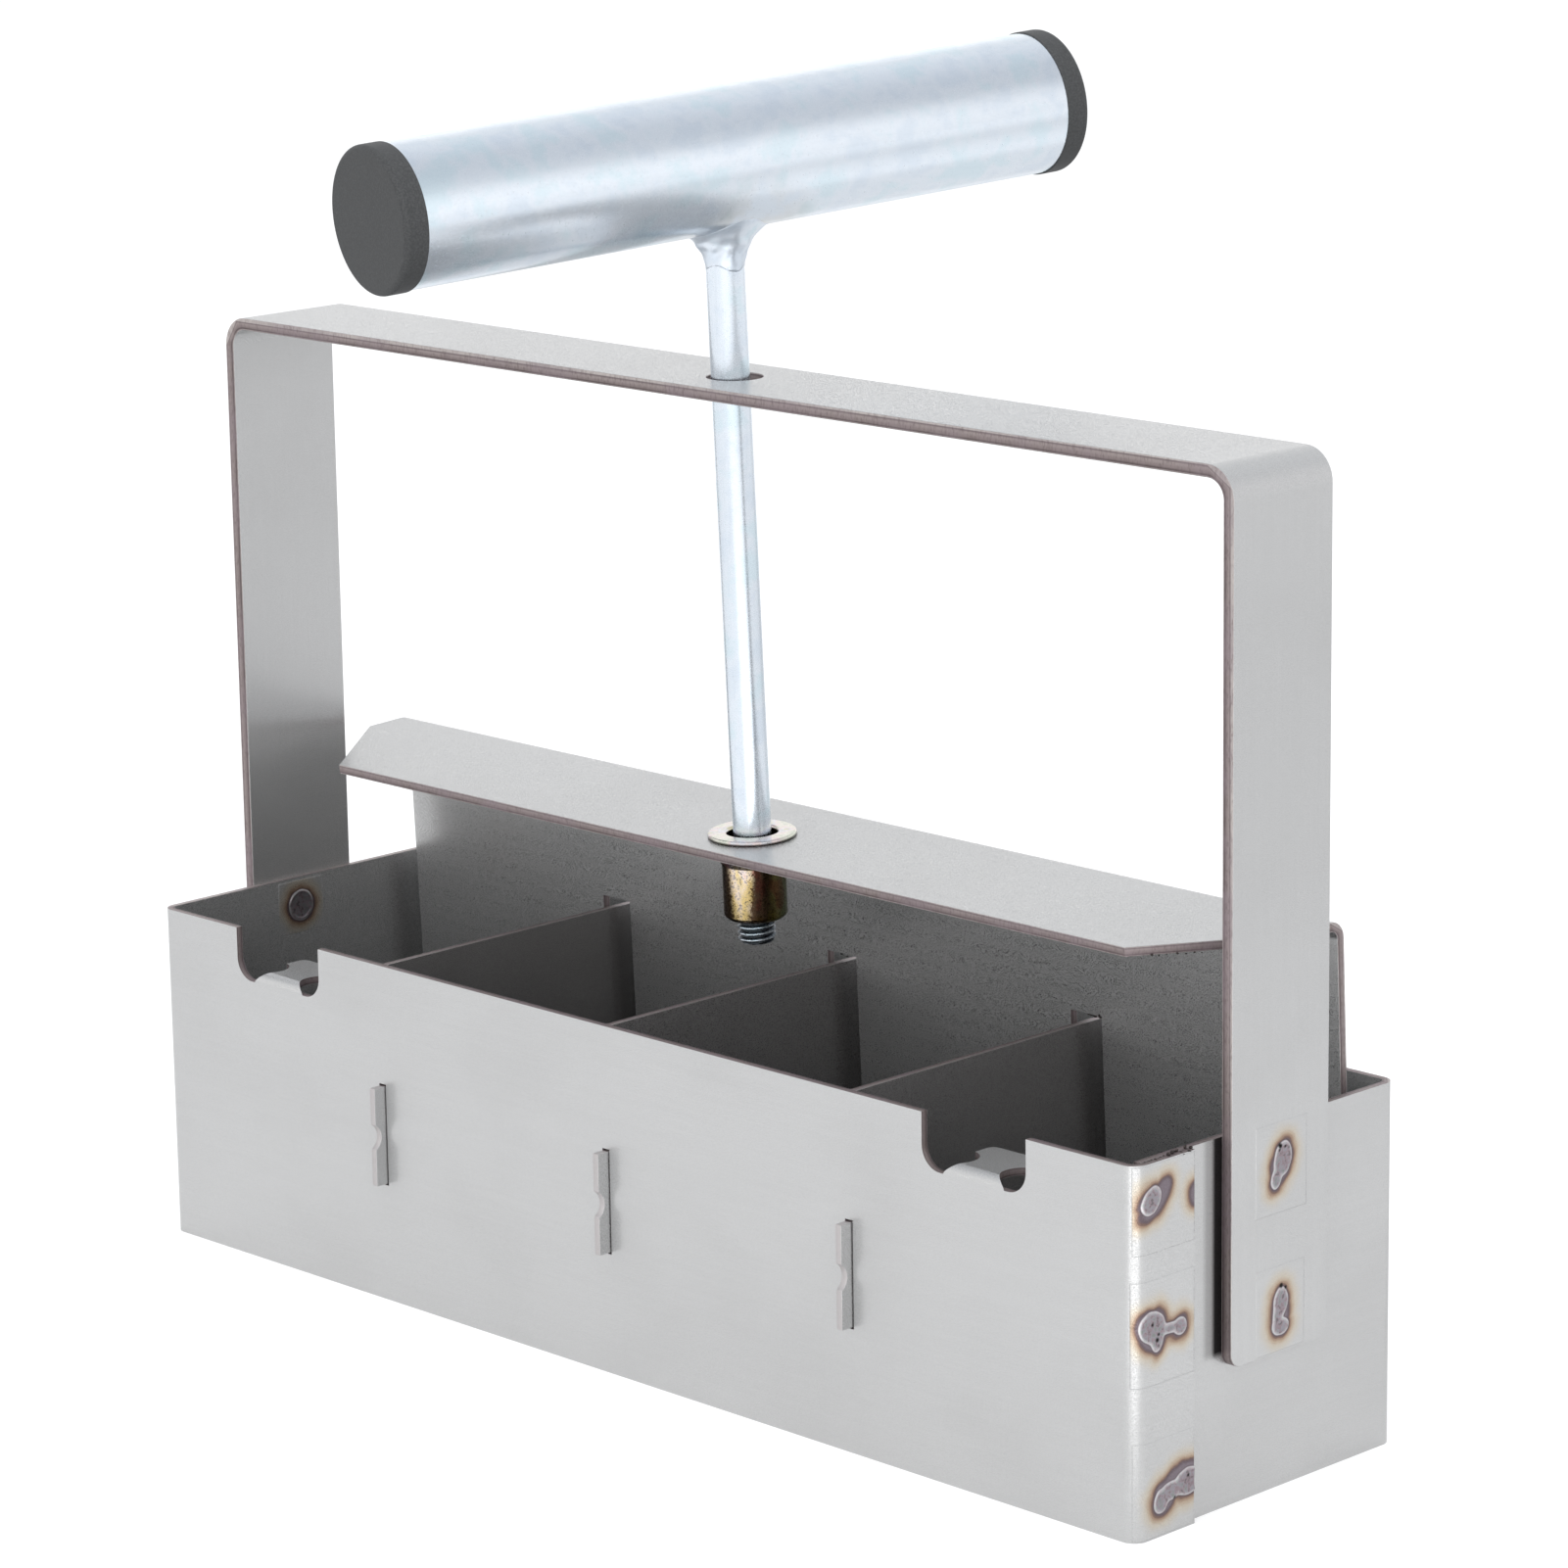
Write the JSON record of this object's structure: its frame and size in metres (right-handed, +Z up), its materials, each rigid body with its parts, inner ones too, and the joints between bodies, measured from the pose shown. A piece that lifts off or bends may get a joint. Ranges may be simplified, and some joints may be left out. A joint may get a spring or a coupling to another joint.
{
  "type": "soil blocker",
  "caption": "Hand soil blocker: divided sheet-steel mould with a strap bail, and a T-handled sliding pusher whose plates eject square soil blocks.",
  "frame": {"origin": "on the floor under the middle of the mould, on the bottom edge of the middle divider", "axes": "+X along the mould towards the lapped end, +Y from the notched front wall to the rear, +Z up along the pusher's travel"},
  "size_m": [0.2246, 0.1263, 0.2054],
  "materials": {
    "mould_sheet": "bright rolled stainless sheet with fine grain",
    "divider_sheet": "bright rolled stainless sheet",
    "bail_strap": "fine brushed stainless strap",
    "pusher_sheet": "bright rolled stainless sheet with laser-cut edges",
    "press_plate_sheet": "bright rolled stainless sheet",
    "weld_metal": "as welded, with heat tint",
    "bright_zinc": "bright zinc plated",
    "stud_zinc": "bright zinc plated",
    "yellow_zinc": "yellow passivated zinc plating",
    "cap_plastic": "moulded polyethylene"
  },
  "bodies": {
    "mould": {"mould_shell": "mould_sheet", "divider_left": "divider_sheet", "divider_middle": "divider_sheet", "divider_right": "divider_sheet", "bail": "bail_strap", "corner_welds": "weld_metal", "bail_welds_left": "weld_metal", "bail_welds_right": "weld_metal"},
    "pusher": {"pusher_frame": "pusher_sheet", "rivet_nut": "yellow_zinc", "press_plate_1": "press_plate_sheet", "press_plate_2": "press_plate_sheet", "press_plate_3": "press_plate_sheet", "press_plate_4": "press_plate_sheet", "dimple_stud_1": "stud_zinc", "dimple_stud_2": "stud_zinc", "dimple_stud_3": "stud_zinc", "dimple_stud_4": "stud_zinc", "stud_nut_1": "stud_zinc", "stud_nut_2": "stud_zinc", "stud_nut_3": "stud_zinc", "stud_nut_4": "stud_zinc"},
    "handle": {"handle_rod": "bright_zinc", "handle_tube": "bright_zinc", "handle_weld": "weld_metal", "end_cap_front": "cap_plastic", "end_cap_rear": "cap_plastic"}
  },
  "joints": [
    {"name": "pusher_slide", "type": "slide", "parent": "mould", "child": "pusher", "axis": [0, 0, 1], "range_m": [0, 0.0447]},
    {"name": "handle_turn", "type": "hinge", "parent": "pusher", "child": "handle", "pos_m": [0, 0, 0.1555], "axis": [0, -0.0419, 0.9991], "range_deg": [0, 180]}
  ]
}
